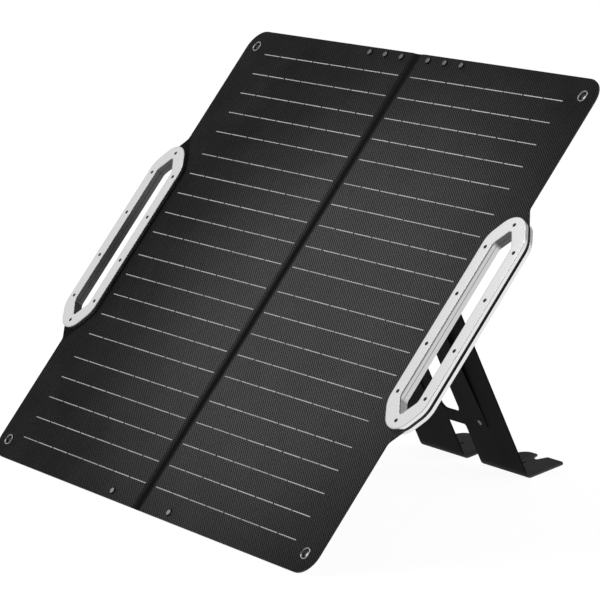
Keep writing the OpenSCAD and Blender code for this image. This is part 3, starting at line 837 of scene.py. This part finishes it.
def back_cover(name, side):
    """Fabric over the back, sewn all round near its edge."""
    back = -0.1
    loops = [(half_outline(BACK_EDGE, BACK_INSET), rounded_edge(back, BACK_T, 0.3, 0.05))]
    loops += sheet_holes(back, BACK_T)
    made = piece(f"{name}_back_cover", PANEL, [slab(*loops)], BACK_CLOTH, side)
    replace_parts(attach(made, f"{name}_half"), f"{name}_back_fabric")
    threads = raised(stitches(half_outline(SEAM_EDGE, SEAM_INSET), -THREAD_H, closed=True), back)
    seam = piece(f"{name}_back_seam", PANEL, threads, THREAD, side)
    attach(seam, f"{name}_half")
    low, high = extent(f"{name}_back_fabric", PANEL)


# ---- Handles ----


def screw_places():
    bar = (HANDLE_HALF_W + SLOT_HALF_W) / 2
    places = [(x, u) for x in (-bar, bar) for u in SCREW_BAR_US]
    places += [(0, -SCREW_TIP_U), (0, SCREW_TIP_U)]
    return [(HALF_W + x, MID_U + u) for x, u in places]


def shell_rim(low, high, low_r):
    """A shell's edge up to a fine machined border round its face."""
    border = high - RIM_DROP
    return rounded_edge(low, border, low_r, SHELL_R, 4) + [(RIM_W, border), (RIM_W + 0.15, high)]


def handle_front(name, side):
    """Front shell: a flat rim with softened edges, and a lip down into the hand slot."""
    lip_end = FRONT / 2 + LIP_GAP
    slot_edge = [(LIP_T, FRONT), (LIP_T, lip_end + CHAMFER), (LIP_T - CHAMFER, lip_end)]
    slot_edge += shell_rim(lip_end, SHELL_FRONT, 0.35)
    loops = [(HANDLE_OUTLINE, shell_rim(FRONT, SHELL_FRONT, 0.2)), (SLOT_HOLE, slot_edge)]
    for x, u in screw_places():
        rim = [(0, FRONT), (0, SHELL_FRONT - CHAMFER), (CHAMFER, SHELL_FRONT)]
        loops.append((hole(circle(x, u, SCREW_HOLE_R, 24)), rim))
    made = piece(f"{name}_handle_frame_front", PANEL, [slab(*loops)], ALUMINIUM, side)
    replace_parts(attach(made, f"{name}_half"), f"{name}_handle_front")


def handle_rear(name, side):
    """Rear shell: the front shell's mirror image through the panel, without the screw holes."""
    lip_end = FRONT / 2 - LIP_GAP
    slot_edge = rounded_edge(SHELL_BACK, lip_end, SHELL_R, 0.35, 4)
    slot_edge += [(LIP_T - CHAMFER, lip_end), (LIP_T, lip_end - CHAMFER), (LIP_T, 0)]
    loops = [(HANDLE_OUTLINE, rounded_edge(SHELL_BACK, 0, SHELL_R, 0.2, 4)), (SLOT_HOLE, slot_edge)]
    made = piece(f"{name}_handle_frame_rear", PANEL, [slab(*loops)], ALUMINIUM, side)
    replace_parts(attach(made, f"{name}_half"), f"{name}_handle_rear")


# ---- Eyelets, rivets and studs ----

# Eyelet: raised bead, and inside it a funnel darkened with painted shade, a barrel through the panel and a rolled
# end behind
BEAD_PROFILE = [
    (6.4, FRONT), (7.7, FRONT), (7.7, 4.3), (7.55, 4.65), (7.2, 4.88), (6.9, 4.85), (6.6, 4.62),
    (6.4, 4.42),
]
FUNNEL_PROFILE = [
    (BARREL_R, BACK_T), (BARREL_R, FRONT), (6.8, FRONT), (6.8, 4.3), (6.5, 4.3), (6.2, 4.28),
    (5.8, 4.15), (5.35, 3.8), (4.95, 3.2), (4.65, 2.4), (4.5, 1.4), (4.5, -0.7), (4.7, -1.2),
    (5.2, -1.5), (5.8, -1.45), (6.2, -1.1), (6.2, -0.82), (BARREL_R, -0.82),
]
WASHER_PROFILE = [
    (OPENING_R, -0.8), (7.4, -0.8), (7.8, -0.65), (8.0, -0.35), (8.0, 0), (OPENING_R, 0),
]


def eyelets(name, side):
    rims = [lathe(BEAD_PROFILE, x, u, 48) for x, u in EYELET_PLACES]
    rims += [lathe(FUNNEL_PROFILE[::-1], x, u, 48) for x, u in EYELET_PLACES]
    # painted shade: the funnels take the dark tone, the beads the light one
    made = piece(f"{name}_eyelet_rims", PANEL, rims, NICKEL, side, (1, 1, 0.1, 0.1), sharp=60)
    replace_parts(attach(made, f"{name}_half"), f"{name}_eyelets")
    rings = [lathe(WASHER_PROFILE, x, u, 48) for x, u in EYELET_PLACES]
    made = piece(f"{name}_eyelet_backs", PANEL, rings, NICKEL, side)
    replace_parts(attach(made, f"{name}_half"), f"{name}_eyelet_washers")


# Disc on top of each rivet cap, lighter than the cap's sides with painted light
DISC_PROFILE = [(0, 5.0), (3.7, 5.0), (3.7, 5.4), (3.4, 5.52), (2.4, 5.57), (0, 5.58)]


def capped(places, back_z, back_t, neck):
    """Rivets with a cap in front, its sides darkened with painted shade and its top disc lit with painted light:
    their lathed parts and the parts' tones.
    """
    cap = [(2, FRONT), (4.75, FRONT), (4.75, 4.75), (4.62, 5.1), (4.3, 5.35), (3.8, 5.46), (0, 5.5)]
    back = [(4.35, back_z - back_t), (4.75, back_z - back_t + 0.4), (4.75, back_z), (2, back_z)]
    parts = [lathe(neck + back + cap, x, u) for x, u in places]
    parts += [lathe(DISC_PROFILE, x, u) for x, u in places]
    # painted shade on the caps' sides (tone 0) and painted light on the discs (tone 1)
    return parts, [0.0] * len(places) + [1.0] * len(places)


def rivets(name, side):
    places = [(x, RIVET_U) for x in RIVET_XS]
    parts, tones = capped(places, -ANCHOR_T, 1, [(0, -ANCHOR_T - 1)])
    made = piece(f"{name}_top_rivet_caps", PANEL, parts, RIVET_METAL, side, tones)
    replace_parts(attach(made, f"{name}_half"), f"{name}_top_rivets")


def stud(name, side):
    """The stud that the folded foot plate hooks round: a neck and a small domed head behind."""
    low, high = extent(f"{name}_bottom_stud", PANEL)
    head = [(0, 0), (2.4, 0), (3.2, 0.2), (3.5, 0.6), (3.5, 1.1), (3, 1.3)]
    neck = [(radius, low.z + z) for radius, z in head] + [(3, -0.8)]
    parts, tones = capped([(STUD_X, (low.y + high.y) / 2)], 0, 0.8, neck)
    made = piece(f"{name}_bottom_stud_cap", PANEL, parts, STUD_METAL, side, tones)
    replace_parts(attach(made, f"{name}_half"), f"{name}_bottom_stud")


# ---- Soft spine between the halves ----


def spine_flap(name, side, edge_x, top, thicknesses, material, slot):
    """Half of the spine's cloth, from the crease to edge_x, thicker where it is closed at its ends."""
    thickness, end_thickness = thicknesses
    steps, stations, close = 9, 60, 5.0
    rings = []
    for k in range(stations + 1):
        u = PANEL_H * k / stations
        wobble = 0.12 * noise.noise(Vector((u / 45, thickness, 0)))
        inward = min(1, min(u, PANEL_H - u) / close)
        depth = end_thickness + (thickness - end_thickness) * inward
        row = [edge_x * i / steps for i in range(steps + 1)]
        above = [(x, u, top(x / edge_x, wobble)) for x in row]
        below = [(x, u, z - depth) for x, _, z in above]
        rings.append(above[::-1] + below)
    return piece(name, PANEL, [loft(rings[::-1])], material, side)


def front_valley(t, wobble):
    """Height of the front flap, from the crease at t = 0 to its edge at t = 1."""
    return VALLEY_FLOOR + t ** 2 + wobble * (1 - t)


def back_flat(t, wobble):
    return 0.25 + 0.2 * wobble * (1 - t)


def bend_at_spine(flap, side, start_x, end_x):
    """Bakes the flap's place into its mesh, the same way on either side."""
    if side < 0:
        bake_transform(flap)
    else:
        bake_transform(flap)


def spine():
    front_w, back_w = SPINE_FRONT_W, SPINE_BACK_W
    film, cloth = (FILM, "laminate"), (BACK_CLOTH, "back_fabric")
    for name, side in SIDES.items():
        front = spine_flap(f"{name}_spine_front", side, front_w, front_valley, SPINE_FRONT_T, *film)
        bend_at_spine(front, side, *SPINE_FRONT_BEND)
        back = spine_flap(f"{name}_spine_back", side, back_w, back_flat, SPINE_BACK_T, *cloth)
        bend_at_spine(back, side, *SPINE_BACK_BEND)
        if side < 0:
            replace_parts(front, "spine_front_fabric")
            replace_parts(back, "spine_back_fabric")


# ---- Stand ----


def from_panel(below, out):
    """Leg-frame (y, z) of a point below the hinge line and out from its plane, on the panel's back."""
    cos, sin = math.cos(OPEN_ANGLE), math.sin(OPEN_ANGLE)
    return Vector((below * cos + out * sin, out * cos - below * sin))


def stand_anchor(name, side):
    """The plate on the panel's back that carries the leg, held by the three top rivets."""
    low, high = anchor_low, anchor_high
    plate = outline([(low.x, low.y, 1), (high.x, low.y, 1), (high.x, high.y, 8), (low.x, high.y, 8)])
    shell = slab((plate, rounded_edge(low.z, -0.1, 0.5, 0.1)))
    made = piece(f"{name}_anchor_plate", PANEL, [shell], STAND, side)
    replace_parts(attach(made, f"{name}_half"), f"{name}_stand_anchor")


def hinge_cloth(name, side):
    """The cloth hinge at the top of a leg: it lies on the anchor plate and on the leg's outer face."""
    half_t, lap, lift = 0.3, 15, 0.35
    level = LEG_T + lift
    meet = (lift * math.cos(OPEN_ANGLE) - level) / math.sin(OPEN_ANGLE)
    path = [from_panel(-lap, lift)]
    path += corner(path[0], from_panel(meet, lift), Vector((lap, level)), 3)
    path.append(Vector((lap, level)))
    cloth = strip(path, half_t, LEG_IN + 0.6, LEG_OUT - 0.6)
    row = [Vector((LEG_IN + 4, lap - 3)), Vector((LEG_OUT - 4, lap - 3))]
    threads = raised(stitches(row, THREAD_H), level + half_t)
    made = piece(f"{name}_stand_hinge_cloth", LEG, [cloth] + threads, BACK_CLOTH, side)
    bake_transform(made)


def leg_outline(side):
    """Leg, half bridge and foot plate in one flat outline: Y runs down the leg and on along the foot."""
    far = FOLD_LENGTH + foot_high.y
    floor = FOLD_LENGTH + NOTCH_FLOOR
    foot = [
        (LEG_OUT, far, 6),
        (STUD_X + 13, far, 2),
        (STUD_X + 6, floor, 3),
        (STUD_X - 4, floor + 2, 3),
        (STUD_X - 9, far, 1.5),
        (LEG_IN + 14, far, 20),
        (LEG_IN, FOLD_LENGTH + 22, 8),
    ]
    if side < 0:
        foot = [(2 * STUD_X - x, y, r) for x, y, r in reversed(foot)]
    bridge = LEG_LENGTH - BRIDGE_ABOVE_FOLD
    web = [
        (LEG_IN, bridge + BRIDGE_HALF_H, BRIDGE_LOWER_R),
        (BRIDGE_GAP, bridge + BRIDGE_HALF_H, 0),
        (BRIDGE_GAP, bridge - BRIDGE_HALF_H, 0),
        (LEG_IN, bridge - BRIDGE_HALF_H, BRIDGE_UPPER_R),
    ]
    return outline([(LEG_IN, leg_low.y, 0), (LEG_OUT, leg_low.y, 0)] + foot + web)


def thread_slot():
    """The small slot in a foot plate, between its fold and its notch."""
    points = []
    steps = 8
    for y, turn in ((SLOT_NEAR, math.pi), (SLOT_FAR, 0)):
        for i in range(steps + 1):
            angle = turn + math.pi * i / steps
            reach = Vector((math.cos(angle), math.sin(angle))) * SLOT_R
            points.append(Vector((STUD_X, FOLD_LENGTH + y)) + reach)
    return hole(points)


def folded(point):
    """A flat point of the leg and foot, bent round the fold between them."""
    tangent = FOLD_R * math.tan(FOOT_ANGLE / 2)
    past = point.y - FOLD_LENGTH
    turn = FOOT_ANGLE * min(1, max(0, (past + tangent) / (2 * tangent)))
    on_arc = FOLD_R - point.z
    y = FOLD_LENGTH - tangent + on_arc * math.sin(turn)
    z = FOLD_R - on_arc * math.cos(turn)
    beyond = min(0, past + tangent) if past < 0 else max(0, past - tangent)
    return Vector((point.x, y + beyond * math.cos(turn), z + beyond * math.sin(turn)))


def leg(name, side):
    """Leg, bridge and foot plate: one pressed board with a living hinge at the fold."""
    edge = rounded_edge(0, LEG_T, LEG_EDGE_R, LEG_EDGE_R)
    board = slab((leg_outline(side), edge), (thread_slot(), straight_edge(0, LEG_T)))
    reach = 1.1 * FOLD_R
    board = cut(board, 1, [FOLD_LENGTH + reach * (i / 10 - 1) for i in range(21)])
    made = piece(f"{name}_leg_and_foot", LEG, [board], STAND, side, shape=folded)
    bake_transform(made)
    parts = ("leg_board", "leg_cover", "leg_bridge", "foot_board", "foot_cover")
    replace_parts(made, *[f"{name}_{part}" for part in parts])


def strap_tab(name, side):
    """The strap's sewn end on the panel's back: doubled webbing with a boxed cross of stitches."""
    low, high = extent("right_strap_tab", PANEL)
    middle = (low + high) / 2
    size = high - low
    patch = rounded_rectangle(middle.x, middle.y, size.x, size.y, 0.6)
    back, length, pitch = -1.9, 2.2, 3.0
    cloth = slab((patch, rounded_edge(back, 0, 0.5, 0.1)))
    ring = rounded_rectangle(middle.x, middle.y, size.x - 6, size.y - 5, 0)
    threads = stitches(ring, -THREAD_H, length, pitch, closed=True)
    for diagonal in (ring[::2], ring[1::2]):
        threads += stitches(diagonal, -THREAD_H, length, pitch)
    made = piece(f"{name}_strap_sewn_end", PANEL, [cloth] + raised(threads, back), WEBBING, side)
    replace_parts(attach(made, f"{name}_half"), f"{name}_strap_tab")


def strap(name, side):
    """Webbing strap: flat on the leg at its rivet, then straight up to the panel's back."""
    half_t = STRAP_T / 2
    behind, on_leg = -1.0, -half_t - 0.05
    top = from_panel(4, behind)
    bend = from_panel(STRAP_DROP, behind)
    lift = Vector((STRAP_LIFT, on_leg))
    end = Vector((STRAP_END, on_leg))
    path = [top] + corner(top, bend, lift, 3) + corner(bend, lift, end, 120) + [end]
    cloth = strip(path, half_t, STRAP_X - STRAP_W / 2, STRAP_X + STRAP_W / 2, 0.6)
    made = piece(f"{name}_stand_strap", LEG, [cloth], WEBBING, side)
    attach(made, f"{name}_stand")
    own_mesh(made)
    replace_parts(made, f"{name}_strap")


def strap_rivet(name, side):
    """Rivet through strap and leg, with a ringed cap on the strap and a plain one on the leg."""
    inner = -STRAP_T - 0.1
    cap = [(0, inner - 0.35), (1.5, inner - 0.35), (1.9, inner - 0.75), (2.8, inner - 0.85)]
    cap += [(3.5, inner - 0.6), (3.75, inner - 0.2), (3.75, inner), (2, inner)]
    outer = [(2, 0), (3.75, 0), (3.75, 0.3), (3.4, 0.65), (2.6, 0.8), (0, 0.8)]
    turned = lathe(cap + [(radius, LEG_T + z) for radius, z in outer], STRAP_X, STRAP_RIVET)
    made = piece(f"{name}_strap_rivet_cap", LEG, [turned], STRAP_RIVET_METAL, side)
    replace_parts(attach(made, f"{name}_stand"), f"{name}_strap_rivet")


# ---- Junction box ----


def box_cover():
    """Cover with softened edges, a shallow raised field and ribs across it."""
    low, high = extent("junction_box_cover", PANEL)
    middle = (low + high) / 2
    w, h = high.x - low.x, high.y - low.y
    box = local_frame(PANEL @ Vector((middle.x, middle.y, 0)), -X, UP, -NORMAL)
    base, top = -high.z, -low.z
    plate = rounded_rectangle(0, 0, w, h, 6)
    x, y = w / 2 - BOX_SCREW_IN, h / 2 - BOX_SCREW_IN
    corners = [(i * x, j * y) for i in (-1, 1) for j in (-1, 1)]
    holes = [(hole(circle(*place, BOX_SCREW_R, 24)), straight_edge(base, top)) for place in corners]
    parts = [slab((plate, rounded_edge(base, top, 0.2, 1.0, 4)), *holes)]
    field = rounded_rectangle(0, 0, w - 34, h - 12, 3)
    parts.append(slab((field, rounded_edge(top - 0.5, top + 0.7, 0.1, 0.6, 4))))
    for i in range(-3, 4):
        rib = rounded_rectangle(i * BOX_RIB_PITCH, 0, 2.4, h - 22, 1.15)
        parts.append(slab((rib, rounded_edge(top + 0.2, top + 1.5, 0.1, 0.6, 4))))
    made = piece("junction_box_lid", box, parts, COVER_PLASTIC, 1)
    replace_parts(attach(made, "left_half"), "junction_box_cover")


# ---- CAD nodes that stay: materials and softened edges ----


def soften(node, width):
    """Rounds the sharp edges of a CAD node with modifiers, leaving its mesh as it is."""
    made = frame["nodes"][node]
    made.modifiers.new("weld", "WELD").merge_threshold = 1e-6
    bevel = made.modifiers.new("bevel", "BEVEL")
    bevel.width = width * MM
    bevel.segments = 3
    bevel.limit_method = "ANGLE"
    bevel.angle_limit = math.radians(40)
    made.modifiers.new("normals", "WEIGHTED_NORMAL").keep_sharp = True


def paint(node, material):
    made = frame["nodes"][node]
    made.data.materials.clear()
    made.data.materials.append(material)


def cad_nodes():
    for name in SIDES:
        paint(f"{name}_cells", CELL)
        paint(f"{name}_core_board", CORE_BOARD)
        paint(f"{name}_handle_screws", BLACK_SCREW)
        for border in ("side_border", "top_border", "bottom_border"):
            paint(f"{name}_{border}", EDGE_BOARD)
    paint("spine_flex_cable", COPPER)
    paint("junction_box_base", BOX_PLASTIC)
    paint("circuit_board", CIRCUIT)
    paint("output_socket", SOCKET_PLASTIC)
    paint("junction_box_screws", BOX_SCREW)
    soften("junction_box_base", 0.6)
    soften("output_socket", 0.3)


# ---- Camera, light and floor ----


def aimed(name, data, place, direction):
    """A camera or a light at a place, turned to look in a direction."""
    made = add(name, data)
    made.location = place
    made.rotation_euler = direction.to_track_quat("-Z", "Y").to_euler()
    return made


def camera():
    """A long lens from the right of the front, low over the floor."""
    azimuth, elevation = math.radians(57.3), math.radians(9.9)
    low, high = (Vector(c) for c in cad_box)
    target = (low + high) / 2 + Vector((0.1426, -0.137, -0.001))
    forward = Vector((
        -math.sin(azimuth) * math.cos(elevation),
        math.cos(azimuth) * math.cos(elevation),
        -math.sin(elevation),
    ))
    data = bpy.data.cameras.new("camera")
    data.sensor_width = 36
    data.lens = 198.4
    data.clip_end = 50
    distance = 4.027
    bpy.context.scene.camera = aimed("camera", data, target - forward * distance, forward)


def area_light(name, place, target, size, power):
    data = bpy.data.lights.new(name, "AREA")
    data.shape = "DISK"
    data.size = size
    data.energy = power
    aimed(name, data, place, Vector(target) - Vector(place))


def surroundings():
    """Bright horizon, a big soft panel high on the left of the front and a dark gap on its right."""
    world = bpy.data.worlds.new("studio")
    bpy.context.scene.world = world
    world.use_nodes = True
    sky = Nodes(world.node_tree)
    direction = sky.node("TexCoord").outputs["Generated"]
    height = sky.node("SeparateXYZ", {0: direction}).outputs["Z"]
    horizon = sky.spread(height, 0.05, 0.4, 0.75, 0.0, smooth=True)
    towards = sky.vectors("DOT_PRODUCT", direction, (-0.83, -0.3, 0.47))
    soft_panel = sky.spread(towards, 0.6, 0.95, 0.0, 0.62, smooth=True)
    towards = sky.vectors("DOT_PRODUCT", direction, (0.5, -0.6, 0.62))
    gap = sky.spread(towards, 0.55, 0.9, 1.0, 0.35, smooth=True)
    light = sky.times(sky.maths("MAXIMUM", horizon, soft_panel), gap)
    light = sky.maths("MULTIPLY_ADD", gap, 0.22, light)
    background = world.node_tree.nodes["Background"]
    background.inputs["Color"].default_value = (1, 1, 1, 1)
    sky.tree.links.new(light, background.inputs["Strength"])


def studio():
    """Surroundings, a large soft key from above and a pale floor that hardly shows a shadow."""
    surroundings()
    area_light("key", (-1.0, -1.4, 3.2), (0, 0, 0.2), 2.2, 45)
    area_light("rim", (2.0, 2.4, 2.2), (0, 0.1, 0.2), 1.8, 30)
    bpy.context.scene.view_settings.view_transform = "Standard"
    size = 28
    mesh = bpy.data.meshes.new("floor")
    corners = [(*p, 0) for p in rounded_rectangle(0, 0, size, size, 0)]
    mesh.from_pydata(corners, [], [(0, 1, 2, 3)])
    mesh.materials.append(floor_material())
    floor = add("floor", mesh)


camera()
studio()
SIDE_PARTS = (
    front_film, ribbon_dashes, back_cover, handle_front, handle_rear, eyelets, rivets,
    stud, stand_anchor, hinge_cloth, leg, strap_tab, strap, strap_rivet,
)
for side_name, side_sign in SIDES.items():
    for build in SIDE_PARTS:
        build(side_name, side_sign)
spine()
box_cover()
cad_nodes()
